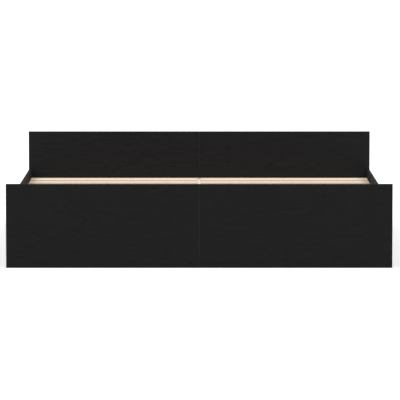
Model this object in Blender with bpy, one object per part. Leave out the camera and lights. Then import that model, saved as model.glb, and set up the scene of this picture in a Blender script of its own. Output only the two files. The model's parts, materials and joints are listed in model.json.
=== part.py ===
"""Platform bed for a 1.8 x 2.0 m mattress, with four storage drawers that roll on the floor.

Metres, +Z up. The origin is on the floor, under the middle of the bed. -Y is the foot end, +Y the
head end, and the drawers pull out sideways along +X and -X.
"""

import math

import bmesh
import bpy
from mathutils import Matrix, Vector

# ---- driving dimensions -------------------------------------------------------------------------
MATTRESS_WIDTH = 1.800
MATTRESS_LENGTH = 2.000
MATTRESS_PLAY = 0.005  # how much longer and wider the well is than the mattress
BOARD = 0.015  # engineered wood of the frame
DRAWER_BOARD = 0.012  # thinner board of the drawer sides and backs
FIT = 0.0004  # gap between boards that touch
SEAM = 0.0006  # gap between the two halves of the headboard and of the footboard
EDGE = 0.0008  # chamfer along the edges of a board

HEADBOARD_HEIGHT = 0.500
FOOTBOARD_HEIGHT = 0.400
RAIL_TOP = 0.295
RAIL_HEIGHT = 0.100
SLAT_TOP = 0.250

# ---- slats --------------------------------------------------------------------------------------
SLAT_THICKNESS = 0.012
SLAT_COUNT = 14
SLAT_WIDTH = 0.070
END_SLAT_WIDTH = 0.125  # the first and the last slat are wider
SLAT_END_GAP = 0.0010  # from a slat's end to the side rail
END_SLAT_GAP = 0.004  # from the first slat to the footboard, and from the last to the headboard
SLAT_EDGE = 0.002

# ---- supports under the slats -------------------------------------------------------------------
LEDGE_WIDTH = 0.020
LEDGE_HEIGHT = 0.030
PARTITION_SETBACK = 0.001  # from the partition's end to the drawer fronts

# ---- drawers ------------------------------------------------------------------------------------
FRONT_GAP = 0.004  # round the drawer fronts
FRONT_LOW = 0.010
BOX_DEPTH = 0.700
BOX_SIDE_PLAY = 0.015  # from a box side to the bay's wall
BOX_LOW = 0.010
BOX_HIGH = 0.180
BOTTOM_LOW = 0.046
BOTTOM_THICKNESS = 0.005
GROOVE_DEPTH = 0.006
GROOVE_PLAY = 0.0004  # round the bottom panel in its groove
BOTTOM_INSERT = 0.0055  # how far the bottom panel goes into its grooves
GRIP_WIDTH = 0.140  # the finger notch in a drawer front's top edge
GRIP_DEPTH = 0.028
GRIP_RADIUS = 0.014
GRIP_LIP = 0.006  # rounding where the notch meets the top edge
ARC_STEPS = 5

# ---- wheels -------------------------------------------------------------------------------------
WHEEL_RADIUS = 0.020
WHEEL_INSET = 0.070  # from the drawer front, or from the box's back, to a wheel's axle
WHEEL_STEPS = 16
STUB_RADIUS = 0.0040
HOLE_RADIUS = 0.00409
HOLE_STEPS = 24
STUB_HEAD_RADIUS = 0.0056
STUB_HEAD = 0.0022
STUB_PLAY = 0.0006
WHEEL_GAP = 0.0012  # from the box side to the wheel
WHEEL_WIDTH = 0.014
TREAD_CHAMFER = 0.001
DISH_RADIUS = 0.015
DISH_DEPTH = 0.003
HUB_RADIUS = 0.006

# ---- worked out from the above ------------------------------------------------------------------
WELL_X = (MATTRESS_WIDTH + MATTRESS_PLAY) / 2  # the side rails' inner faces
WELL_Y = (MATTRESS_LENGTH + MATTRESS_PLAY) / 2  # the inner faces of headboard and footboard
OUTER_X = WELL_X + BOARD
OUTER_Y = WELL_Y + BOARD
RAIL_LOW = RAIL_TOP - RAIL_HEIGHT
SUPPORT_TOP = SLAT_TOP - SLAT_THICKNESS - FIT
LEDGE_LOW = SUPPORT_TOP - LEDGE_HEIGHT
FRONT_HIGH = RAIL_LOW - FRONT_GAP
BAY_INNER_Y = BOARD / 2  # the partition's face
BAY_WIDTH = WELL_Y - BAY_INNER_Y
BAY_CENTRE_Y = (WELL_Y + BAY_INNER_Y) / 2
BOX_HALF = BAY_WIDTH / 2 - BOX_SIDE_PLAY
BOX_INNER_HALF = BOX_HALF - DRAWER_BOARD


def clear_scene():
    for obj in list(bpy.data.objects):
        bpy.data.objects.remove(obj)


def finish(name, colour, roughness):
    """A Principled material from a linear colour."""
    material = bpy.data.materials.new(name)
    material.use_nodes = True
    shader = material.node_tree.nodes["Principled BSDF"]
    shader.inputs["Base Color"].default_value = (*colour, 1.0)
    shader.inputs["Roughness"].default_value = roughness
    shader.inputs["Metallic"].default_value = 0.0
    return material


def new_object(name, mesh, material, parent=None):
    obj = bpy.data.objects.new(name, mesh)
    bpy.context.scene.collection.objects.link(obj)
    if not mesh.materials:
        mesh.materials.append(material)
    obj.parent = parent
    return obj


def chamfer(obj, width):
    bevel = obj.modifiers.new("edge", "BEVEL")
    bevel.width = width
    bevel.segments = 1
    bevel.limit_method = "ANGLE"
    bevel.angle_limit = math.radians(40)
    return obj


def board(name, low, high, material, parent=None, edge=EDGE):
    """A rectangular board between two corners, its origin at its middle."""
    low, high = Vector(low), Vector(high)
    mesh = bpy.data.meshes.new(name)
    form = bmesh.new()
    bmesh.ops.create_cube(form, size=1.0, matrix=Matrix.Diagonal((*(high - low), 1.0)))
    form.to_mesh(mesh)
    form.free()
    obj = new_object(name, mesh, material, parent)
    obj.location = (low + high) / 2
    return chamfer(obj, edge)


def cut_board(name, outline, along, low, high, material, parent=None):
    """A board with a shaped outline. along is the axis of its thickness, 0 for X or 1 for Y, and the
    outline's points are (the other level axis, Z)."""
    mesh = bpy.data.meshes.new(name)
    form = bmesh.new()
    corners = []
    for across, up in outline:
        corners.append(form.verts.new((low, across, up) if along == 0 else (across, low, up)))
    face = form.faces.new(corners)
    pushed = bmesh.ops.extrude_face_region(form, geom=[face])["geom"]
    way = Vector((1, 0, 0)) if along == 0 else Vector((0, 1, 0))
    moved = [part for part in pushed if isinstance(part, bmesh.types.BMVert)]
    bmesh.ops.translate(form, vec=way * (high - low), verts=moved)
    bmesh.ops.recalc_face_normals(form, faces=form.faces)
    form.to_mesh(mesh)
    form.free()
    return chamfer(new_object(name, mesh, material, parent), EDGE)


def hide_cutter(obj):
    obj.hide_render = True
    obj.display_type = "WIRE"


def cut(obj, cutter):
    trim = obj.modifiers.new("cut", "BOOLEAN")
    trim.operation = "DIFFERENCE"
    trim.object = cutter


def turned(name, profile, steps):
    """A mesh turned round the Y axis. The profile is (radius, y) and starts and ends on the axis."""
    mesh = bpy.data.meshes.new(name)
    form = bmesh.new()
    points = [form.verts.new((0, along, -radius)) for radius, along in profile]
    edges = [form.edges.new(pair) for pair in zip(points, points[1:])]
    bmesh.ops.spin(
        form,
        geom=points + edges,
        axis=(0, 1, 0),
        cent=(0, 0, 0),
        angle=math.tau,
        steps=steps,
    )
    bmesh.ops.remove_doubles(form, verts=form.verts, dist=1e-6)
    bmesh.ops.recalc_face_normals(form, faces=form.faces)
    form.to_mesh(mesh)
    form.free()
    mesh.shade_smooth()
    mesh.set_sharp_from_angle(angle=math.radians(35))
    return mesh


# ---- headboard, footboard, rails ----------------------------------------------------------------


def end_boards(material):
    """The headboard and the footboard, each in two halves that meet on the centre line."""
    for name, way, height in (("headboard", 1, HEADBOARD_HEIGHT), ("footboard", -1, FOOTBOARD_HEIGHT)):
        low_y, high_y = sorted((way * WELL_Y, way * OUTER_Y))
        board(f"{name}_left", (-OUTER_X, low_y, 0), (-SEAM / 2, high_y, height), material)
        board(f"{name}_right", (SEAM / 2, low_y, 0), (OUTER_X, high_y, height), material)


def side_rails(material, ledge_material):
    """The side rails, and the ledge screwed inside each one to carry the slats."""
    for name, way in (("left", -1), ("right", 1)):
        low_x, high_x = sorted((way * WELL_X, way * OUTER_X))
        reach = WELL_Y - FIT
        board(f"side_rail_{name}", (low_x, -reach, RAIL_LOW), (high_x, reach, RAIL_TOP), material)
        near, far = way * (WELL_X - FIT - LEDGE_WIDTH), way * (WELL_X - FIT)
        board(
            f"slat_ledge_{name}",
            (min(near, far), -reach, LEDGE_LOW),
            (max(near, far), reach, SUPPORT_TOP),
            ledge_material,
        )


def supports(material):
    """The centre board and the partition stand on the floor and cross in a half lap."""
    middle = SUPPORT_TOP / 2
    half_slot = BOARD / 2 + FIT
    reach = WELL_Y - FIT
    centre = [
        (-reach, 0),
        (reach, 0),
        (reach, SUPPORT_TOP),
        (half_slot, SUPPORT_TOP),
        (half_slot, middle - FIT),
        (-half_slot, middle - FIT),
        (-half_slot, SUPPORT_TOP),
        (-reach, SUPPORT_TOP),
    ]
    cut_board("centre_board", centre, 0, -BOARD / 2, BOARD / 2, material)

    end = WELL_X - PARTITION_SETBACK
    notch = WELL_X - 2 * FIT - LEDGE_WIDTH
    shoulder = LEDGE_LOW - FIT
    half = [
        (half_slot, middle + FIT),
        (half_slot, 0),
        (end, 0),
        (end, shoulder),
        (notch, shoulder),
        (notch, SUPPORT_TOP),
    ]
    mirrored = [(-across, up) for across, up in reversed(half)]
    cut_board("cross_partition", half + mirrored, 1, -BOARD / 2, BOARD / 2, material)


def slats(material):
    """Slats from the foot end to the head end, with equal gaps between them."""
    widths = [END_SLAT_WIDTH] + [SLAT_WIDTH] * (SLAT_COUNT - 2) + [END_SLAT_WIDTH]
    gap = (2 * (WELL_Y - END_SLAT_GAP) - sum(widths)) / (SLAT_COUNT - 1)
    half = WELL_X - SLAT_END_GAP
    near = -WELL_Y + END_SLAT_GAP
    for number, width in enumerate(widths, start=1):
        low = (-half, near, SLAT_TOP - SLAT_THICKNESS)
        high = (half, near + width, SLAT_TOP)
        board(f"slat_{number:02d}", low, high, material, edge=SLAT_EDGE)
        near += width + gap


# ---- drawers ------------------------------------------------------------------------------------


def arc(centre, radius, start, end):
    """Points of an arc in degrees, ends included."""
    points = []
    for step in range(ARC_STEPS + 1):
        angle = math.radians(start + (end - start) * step / ARC_STEPS)
        points.append((centre[0] + radius * math.cos(angle), centre[1] + radius * math.sin(angle)))
    return points


def front_outline():
    """A drawer front seen from outside: a rectangle with a rounded finger notch in its top edge."""
    half = BAY_WIDTH / 2 + BAY_INNER_Y / 2
    low_end, high_end = -half + FRONT_GAP, half - FRONT_GAP / 2
    grip = GRIP_WIDTH / 2
    floor = FRONT_HIGH - GRIP_DEPTH
    right = arc((grip + GRIP_LIP, FRONT_HIGH - GRIP_LIP), GRIP_LIP, 90, 180)
    right += arc((grip - GRIP_RADIUS, floor + GRIP_RADIUS), GRIP_RADIUS, 0, -90)
    left = [(-across, up) for across, up in reversed(right)]
    outline = [(low_end, FRONT_LOW), (high_end, FRONT_LOW), (high_end, FRONT_HIGH)]
    return [*outline, *right, *left, (low_end, FRONT_HIGH)]


def drawer_front(name, toward_partition, material, parent):
    """The front overlaps half of the partition, so its outline sits off the drawer's own middle."""
    shift = toward_partition * BAY_INNER_Y / 2
    outline = [(toward_partition * across + shift, up) for across, up in front_outline()]
    front = cut_board(f"{name}_front", outline, 0, -BOARD, 0, material, parent)
    reach = BOX_INNER_HALF + GROOVE_DEPTH
    groove = board(
        f"{name}_front_groove",
        (-BOARD - GROOVE_DEPTH, -reach, BOTTOM_LOW - GROOVE_PLAY),
        (-BOARD + GROOVE_DEPTH, reach, BOTTOM_LOW + BOTTOM_THICKNESS + GROOVE_PLAY),
        material,
        parent,
        edge=0,
    )
    hide_cutter(groove)
    cut(front, groove)


def box_side(name, way, material, parent):
    """A box side: grooved inside for the bottom panel, and drilled for two wheel stubs."""
    inner, outer = way * BOX_INNER_HALF, way * BOX_HALF
    deep = inner + way * GROOVE_DEPTH
    groove_low = BOTTOM_LOW - GROOVE_PLAY
    groove_high = BOTTOM_LOW + BOTTOM_THICKNESS + GROOVE_PLAY
    profile = [
        (inner, BOX_LOW),
        (outer, BOX_LOW),
        (outer, BOX_HIGH),
        (inner, BOX_HIGH),
        (inner, groove_high),
        (deep, groove_high),
        (deep, groove_low),
        (inner, groove_low),
    ]
    back_x, front_x = -BOARD - BOX_DEPTH, -BOARD - FIT
    side = cut_board(name, profile, 0, back_x, front_x, material, parent)
    for end, axle_x in enumerate(axle_places()):
        mesh = turned(
            f"{name}_hole_{end}",
            [(0, -BOARD), (HOLE_RADIUS, -BOARD), (HOLE_RADIUS, BOARD), (0, BOARD)],
            HOLE_STEPS,
        )
        hole = new_object(f"{name}_hole_{end}", mesh, material, parent)
        hole.location = (axle_x, way * (BOX_INNER_HALF + DRAWER_BOARD / 2), WHEEL_RADIUS)
        hide_cutter(hole)
        cut(side, hole)


def axle_places():
    return (-BOARD - WHEEL_INSET, -BOARD - BOX_DEPTH + WHEEL_INSET)


def wheel_mesh():
    """A moulded wheel with its stub axle. The box side's inner face is at y = 0, the stub runs to -Y."""
    head_inner = -DRAWER_BOARD - STUB_PLAY
    far = WHEEL_GAP + WHEEL_WIDTH
    profile = [
        (0, head_inner - STUB_HEAD),
        (STUB_HEAD_RADIUS, head_inner - STUB_HEAD),
        (STUB_HEAD_RADIUS, head_inner),
        (STUB_RADIUS, head_inner),
        (STUB_RADIUS, WHEEL_GAP),
        (WHEEL_RADIUS - TREAD_CHAMFER, WHEEL_GAP),
        (WHEEL_RADIUS, WHEEL_GAP + TREAD_CHAMFER),
        (WHEEL_RADIUS, far - TREAD_CHAMFER),
        (WHEEL_RADIUS - TREAD_CHAMFER, far),
        (DISH_RADIUS, far),
        (DISH_RADIUS, far - DISH_DEPTH),
        (HUB_RADIUS, far - DISH_DEPTH),
        (HUB_RADIUS, far),
        (0, far),
    ]
    return turned("wheel", profile, WHEEL_STEPS)


def wheels(name, mesh, material, parent):
    """Four wheels inside the box sides, below the bottom panel. Each origin is on the wheel's axle."""
    number = 0
    for way in (-1, 1):
        for axle_x in axle_places():
            number += 1
            wheel = new_object(f"{name}_wheel_{number}", mesh, material, parent)
            wheel.location = (axle_x, way * BOX_INNER_HALF, WHEEL_RADIUS)
            wheel.rotation_euler = (0, 0, 0 if way < 0 else math.pi)


def drawer(name, side_way, end_way, board_material, panel_material, wheel_shape, wheel_material):
    """One drawer. In its own frame the front's outer face is at x = 0 and the drawer pulls out to +X."""
    hub = bpy.data.objects.new(f"{name}_place", None)
    bpy.context.scene.collection.objects.link(hub)
    hub.location = (side_way * OUTER_X, end_way * BAY_CENTRE_Y, 0)
    hub.rotation_euler = (0, 0, 0 if side_way > 0 else math.pi)
    toward_partition = -end_way * side_way

    drawer_front(name, toward_partition, board_material, hub)
    box_side(f"{name}_side_a", -1, board_material, hub)
    box_side(f"{name}_side_b", 1, board_material, hub)
    back_x = -BOARD - BOX_DEPTH
    board(
        f"{name}_back",
        (back_x, -BOX_INNER_HALF + FIT, BOTTOM_LOW + BOTTOM_THICKNESS + FIT),
        (back_x + DRAWER_BOARD, BOX_INNER_HALF - FIT, BOX_HIGH),
        board_material,
        hub,
    )
    reach = BOX_INNER_HALF + BOTTOM_INSERT
    board(
        f"{name}_bottom",
        (back_x, -reach, BOTTOM_LOW),
        (-BOARD + BOTTOM_INSERT, reach, BOTTOM_LOW + BOTTOM_THICKNESS),
        panel_material,
        hub,
        edge=EDGE / 2,
    )
    wheels(name, wheel_shape, wheel_material, hub)


def main():
    clear_scene()
    black_board = finish("black_wood_effect_board", (0.0168, 0.0168, 0.0168), 0.55)
    black_panel = finish("black_hardboard", (0.020, 0.020, 0.020), 0.7)
    pale_wood = finish("pale_slat_wood", (0.83, 0.70, 0.52), 0.6)
    plastic = finish("wheel_plastic", (0.03, 0.03, 0.032), 0.45)

    end_boards(black_board)
    side_rails(black_board, black_board)
    supports(black_board)
    slats(pale_wood)
    wheel_shape = wheel_mesh()
    for side_name, side_way in (("left", -1), ("right", 1)):
        for end_name, end_way in (("foot", -1), ("head", 1)):
            name = f"drawer_{side_name}_{end_name}"
            drawer(name, side_way, end_way, black_board, black_panel, wheel_shape, plastic)


main()
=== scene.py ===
"""Finishes and small parts of a platform bed with rolling storage drawers."""

import json
import math

import bmesh
import bpy
from bpy.props import FloatProperty, FloatVectorProperty, IntProperty, PointerProperty
from mathutils import Euler, Matrix, Vector

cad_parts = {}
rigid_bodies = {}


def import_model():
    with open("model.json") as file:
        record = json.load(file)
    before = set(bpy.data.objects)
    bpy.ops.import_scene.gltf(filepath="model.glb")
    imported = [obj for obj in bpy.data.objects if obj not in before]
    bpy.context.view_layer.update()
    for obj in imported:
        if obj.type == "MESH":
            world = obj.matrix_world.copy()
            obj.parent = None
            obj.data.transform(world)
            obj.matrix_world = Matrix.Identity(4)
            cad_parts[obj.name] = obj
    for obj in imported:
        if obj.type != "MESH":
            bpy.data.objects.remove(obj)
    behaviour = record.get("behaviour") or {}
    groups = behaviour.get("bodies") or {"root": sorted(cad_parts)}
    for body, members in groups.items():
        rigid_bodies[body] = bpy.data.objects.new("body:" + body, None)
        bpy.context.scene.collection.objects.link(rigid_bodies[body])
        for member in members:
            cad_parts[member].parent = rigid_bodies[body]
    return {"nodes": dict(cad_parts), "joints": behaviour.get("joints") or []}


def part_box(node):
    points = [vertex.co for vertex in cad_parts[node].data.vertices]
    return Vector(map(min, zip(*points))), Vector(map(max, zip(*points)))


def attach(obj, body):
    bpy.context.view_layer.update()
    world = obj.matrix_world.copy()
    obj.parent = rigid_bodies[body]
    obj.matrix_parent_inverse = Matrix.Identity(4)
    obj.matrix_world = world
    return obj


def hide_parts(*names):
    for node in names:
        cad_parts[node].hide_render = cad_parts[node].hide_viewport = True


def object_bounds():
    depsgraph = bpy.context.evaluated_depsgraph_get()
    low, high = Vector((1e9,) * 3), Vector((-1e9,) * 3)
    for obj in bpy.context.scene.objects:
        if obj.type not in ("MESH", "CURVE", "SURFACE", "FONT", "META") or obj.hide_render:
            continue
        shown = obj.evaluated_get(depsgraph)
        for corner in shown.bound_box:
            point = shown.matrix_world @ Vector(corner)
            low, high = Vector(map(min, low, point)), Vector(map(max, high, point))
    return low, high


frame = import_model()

bl_info = {
    "name": "Platform Bed",
    "version": (1, 0, 0),
    "blender": (4, 5, 0),
    "location": "3D View > Sidebar > Bed",
    "description": "Finishes, slats, tapes, fittings and wheels for a platform bed with drawers",
    "category": "Object",
}

CAD_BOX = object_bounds()
MM = 0.001
X, Y, Z = Vector((1, 0, 0)), Vector((0, 1, 0)), Vector((0, 0, 1))
ALONG_X, ALONG_Y = 0, 1

FRAME_BODY = "bed_frame"
DRAWERS = [f"drawer_{side}_{end}" for side in ("left", "right") for end in ("foot", "head")]
SLATS = sorted(node for node in frame["nodes"] if node.startswith("slat_") and node[5:].isdigit())

# Each board, the axis its grain runs along, and its tone. The headboard's tone is painted light,
# lifting it where less light reaches it, and the footboard's is painted shade, darkening it where
# the floor lights it more. Other tones differ a little: no two sheets of foil are printed alike.
FOIL_BOARDS = (
    ("headboard_left", ALONG_X, 1.48),
    ("headboard_right", ALONG_X, 1.50),
    ("footboard_left", ALONG_X, 0.88),
    ("footboard_right", ALONG_X, 0.88),
    ("side_rail_left", ALONG_Y, 1.0),
    ("side_rail_right", ALONG_Y, 1.0),
    ("slat_ledge_left", ALONG_Y, 1.1),
    ("slat_ledge_right", ALONG_Y, 1.1),
    ("centre_board", ALONG_Y, 1.0),
    ("cross_partition", ALONG_X, 1.05),
)

# Half outlines of a wheel's two mouldings in millimetres: radius, and place along the axle.
WHEEL_BODY = (
    *((0, -14.8), (4.9, -14.8), (5.6, -14.2), (5.6, -12.6), (3.98, -12.6), (3.98, 1.2)),
    *((16.2, 1.2), (16.2, 14.8), (15.4, 15.0), (14.9, 12.2), (6.4, 12.2), (6.0, 14.9)),
    *((5.4, 15.2), (2.2, 15.2), (1.6, 14.0), (0, 13.8)),
)
WHEEL_TREAD = (
    *((16.21, 1.3), (18.4, 1.3), (19.5, 1.8), (19.95, 3.0), (20, 5.8), (19.5, 6.1)),
    *((19.5, 6.7), (20, 7.0), (20, 9.4), (19.5, 9.7), (19.5, 10.3), (20, 10.6)),
    *((19.95, 13.4), (19.5, 14.6), (18.4, 15.1), (16.21, 15.1)),
)

# One rib of a wheel's face in millimetres: the place of its middle, and its size.
WHEEL_RIB = ((10.6, 0, 13.4), (9.4, 1.6, 2.8))
WHEEL_STEPS = 48

PROUD = 0.1 * MM  # how far a screw head stands above its board
SEAT = 0.3 * MM  # room between a fitting and the boards it stands against
SMOOTH = math.radians(35)  # faces that meet at less than this are shaded as one
FLOOR_REACH, FLOOR_DROP = 90, 0.5 * MM
SENSOR_WIDTH = 36  # millimetres
NEAREST_SEEN, FARTHEST_SEEN = 0.5, 300

# Where fixings go. Heights are above the floor, and insets are from a board's ends or edges.
SLAT_SCREWS = (46 * MM, 30 * MM)
LEDGE_SCREWS, LEDGE_INSET = 9, 90 * MM
BACK_SCREW_HEIGHTS = (78 * MM, 152 * MM)
BRACKET_HEIGHTS = (60 * MM, 120 * MM, 190 * MM)
BLOCK_HEIGHTS = (62 * MM, 118 * MM)
CAP_INSETS = (34 * MM, 22 * MM)


def linear(hex_colour):
    """An sRGB hex colour as linear red, green and blue."""
    found = []
    for at in (1, 3, 5):
        value = int(hex_colour[at : at + 2], 16) / 255
        found.append(value / 12.92 if value <= 0.04045 else ((value + 0.055) / 1.055) ** 2.4)
    return tuple(found)


def tinted(colour, share=1.0):
    """A linear colour made lighter or darker, as a node takes it."""
    return (*(part * share for part in colour), 1.0)


def corner(node, way):
    """A node's highest corner (1) or its lowest one (-1)."""
    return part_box(node)[way > 0]


def middle(node):
    """The middle of a node's box."""
    low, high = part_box(node)
    return (low + high) / 2


# ---- settings -----------------------------------------------------------------------------------


def colour_setting(name, about, hex_colour):
    """A colour that a user may change."""
    return FloatVectorProperty(
        name=name, description=about, subtype="COLOR", min=0.0, max=1.0, default=linear(hex_colour)
    )


def length_setting(name, about, metres):
    """A length that a user may change."""
    return FloatProperty(
        name=name, description=about, unit="LENGTH", precision=4, min=0.0, default=metres
    )


def strength_setting(name, about, value):
    """A strength of light that a user may change."""
    return FloatProperty(name=name, description=about, min=0.0, default=value)


def angle_setting(name, about, radians):
    """An angle that a user may change."""
    return FloatProperty(name=name, description=about, subtype="ANGLE", default=radians)


class BedBoardSettings(bpy.types.PropertyGroup):
    """The black boards."""

    foil: colour_setting("Foil", "Colour of the printed foil on the boards", "#141415")
    # The rubbed edge colour is partly worn foil and partly a painted highlight where edges catch
    # light.
    edge: colour_setting("Rubbed edge", "Colour of the foil where an edge is rubbed", "#3d3d3e")
    chips: colour_setting("Raw edge", "Colour of the bare chipboard under the boards", "#8a6a48")
    chip_size: length_setting("Chip size", "Size of the chips in a raw edge", 3.1 * MM)
    hardboard: colour_setting("Drawer bottom", "Colour of the lacquered hardboard", "#1d1c1b")
    roughness: FloatProperty(
        name="Roughness",
        description="Roughness of the pressed foil",
        subtype="FACTOR",
        min=0.0,
        max=1.0,
        default=0.68,
    )
    pore_width: length_setting("Pore width", "Width of one pressed pore", 2.2 * MM)
    pore_length: length_setting("Pore length", "Length of one pressed pore", 55 * MM)
    figure_width: length_setting("Figure width", "Between two lines of the wood figure", 12 * MM)
    figure_length: length_setting("Figure length", "Of the wood figure along the board", 620 * MM)


class BedSlatSettings(bpy.types.PropertyGroup):
    """The slats."""

    veneer: colour_setting("Veneer", "Colour of the slats' faces", "#f9e8d5")
    streak: colour_setting("Streaks", "Colour of the darker grain", "#e9d0b2")
    cross_ply: colour_setting("Cross plies", "Colour of the plies that show end grain", "#b08c64")
    edge_radius: length_setting("Edge radius", "Rounding along the slats' edges", 2.0 * MM)
    plies: IntProperty(name="Plies", description="Layers in a slat", min=3, max=15, default=7)


class BedTapeSettings(bpy.types.PropertyGroup):
    """The tapes that space the slats, and their staples."""

    yarn: colour_setting("Yarn", "Colour of the tapes", "#f3e0c5")
    width: length_setting("Width", "Width of a tape", 18 * MM)
    thickness: length_setting("Thickness", "Thickness of a tape", 0.7 * MM)
    sag: length_setting("Sag", "How far a tape dips between two slats", 2.5 * MM)
    thread: length_setting("Thread spacing", "Spacing of the woven threads", 2.4 * MM)
    ledge_room: length_setting("Room", "Between an outer tape and the ledge beside it", 20 * MM)
    crown: length_setting("Staple crown", "Width of a staple", 11 * MM)
    staple_place: length_setting("Staple place", "From a slat's middle to a staple", 20 * MM)


class BedFittingSettings(bpy.types.PropertyGroup):
    """Screws, brackets, blocks and caps."""

    zinc: colour_setting("Zinc", "Colour of the plated steel", "#c3c5c6")
    screw_head: length_setting("Screw head", "Diameter of a screw head", 8 * MM)
    bracket_leg: length_setting("Bracket leg", "Length of a bracket's leg", 38 * MM)
    bracket_width: length_setting("Bracket width", "Width of a bracket", 16 * MM)
    sheet: length_setting("Sheet thickness", "Thickness of the brackets' steel", 2 * MM)
    block: length_setting("Block size", "Length of a corner block's legs", 24 * MM)
    block_height: length_setting("Block height", "Height of a corner block", 42 * MM)
    cap: length_setting("Cap diameter", "Diameter of a cam fitting's cover cap", 18 * MM)


class BedWheelSettings(bpy.types.PropertyGroup):
    """The drawers' wheels."""

    tread: colour_setting("Tread", "Colour of the soft tread", "#3a3a3b")
    hub: colour_setting("Hub", "Colour of the moulded hub", "#191919")
    ribs: IntProperty(name="Ribs", description="Ribs on a wheel's face", min=3, max=12, default=6)


class BedStageSettings(bpy.types.PropertyGroup):
    """Floor, light and camera."""

    floor: colour_setting("Floor", "Colour of the floor", "#e2e2e2")
    glow: strength_setting("Floor glow", "Strength of the light in the floor", 0.34)
    sky: strength_setting("Sky", "Strength of the light from all round", 0.6)
    key: strength_setting("Key", "Strength of each soft light, left and right", 1.5)
    key_spread: angle_setting("Key spread", "How wide a soft light is", math.radians(35))
    key_way: FloatVectorProperty(
        name="Key direction",
        description="The way the left soft light shines; the right one mirrors it",
        subtype="DIRECTION",
        default=(0.6, 0.28, -0.75),
    )
    distance: length_setting("Camera distance", "From the footboard to the camera", 14.749)
    height: length_setting("Camera height", "Above the floor", 1.7444)
    tilt: angle_setting("Tilt", "How far the camera looks down", math.radians(5.5))
    turn: angle_setting("Turn", "How far the camera looks to the right", 0.00025)
    lens: FloatProperty(
        name="Lens", description="Focal length in millimetres", min=1.0, default=281.25
    )


# ---- nodes --------------------------------------------------------------------------------------

# The kinds of node that are used again and again.
PLACE = "ShaderNodeTexCoord"
MATHS = "ShaderNodeMath"
VECTOR_MATHS = "ShaderNodeVectorMath"
JOIN_XYZ = "ShaderNodeCombineXYZ"
SPLIT_XYZ = "ShaderNodeSeparateXYZ"
MAPPING = "ShaderNodeMapping"
NOISE = "ShaderNodeTexNoise"
CELLS = "ShaderNodeTexVoronoi"
RANGE = "ShaderNodeMapRange"
RAMP = "ShaderNodeValToRGB"
MIX = "ShaderNodeMix"
BUMP = "ShaderNodeBump"
SHADER = "ShaderNodeBsdfPrincipled"
SURFACE = "ShaderNodeOutputMaterial"


def add(tree, kind, inputs=(), stops=(), **settings):
    """Adds a node. Its inputs are named in a dict, or given in order: a node or a socket among them
    is linked, and anything else is set. The stops are a colour ramp's, as (position, colour)."""
    made = tree.nodes.new(kind)
    for name, value in settings.items():
        setattr(made, name, value)
    for number, (position, colour) in enumerate(stops):
        made.color_ramp.elements[number].position = position
        made.color_ramp.elements[number].color = colour
    for key, value in inputs.items() if isinstance(inputs, dict) else enumerate(inputs):
        if isinstance(value, bpy.types.Node):
            value = next(socket for socket in value.outputs if socket.enabled)
        if isinstance(value, bpy.types.NodeSocket):
            tree.links.new(value, made.inputs[key])
        else:
            made.inputs[key].default_value = value
    return made


def new_material(name):
    """An empty material and its node tree."""
    material = bpy.data.materials.new(name)
    material.use_nodes = True
    material.node_tree.nodes.clear()
    return material, material.node_tree


# ---- materials ----------------------------------------------------------------------------------


def per(size):
    """Scale of a pattern whose marks are so many millimetres apart."""
    return 1 / (size * MM)


def grained(along, length, width):
    """Scales that stretch a pattern along one axis, given its length and width in metres."""
    return tuple(1 / length if axis == along else 1 / width for axis in range(3))


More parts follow.
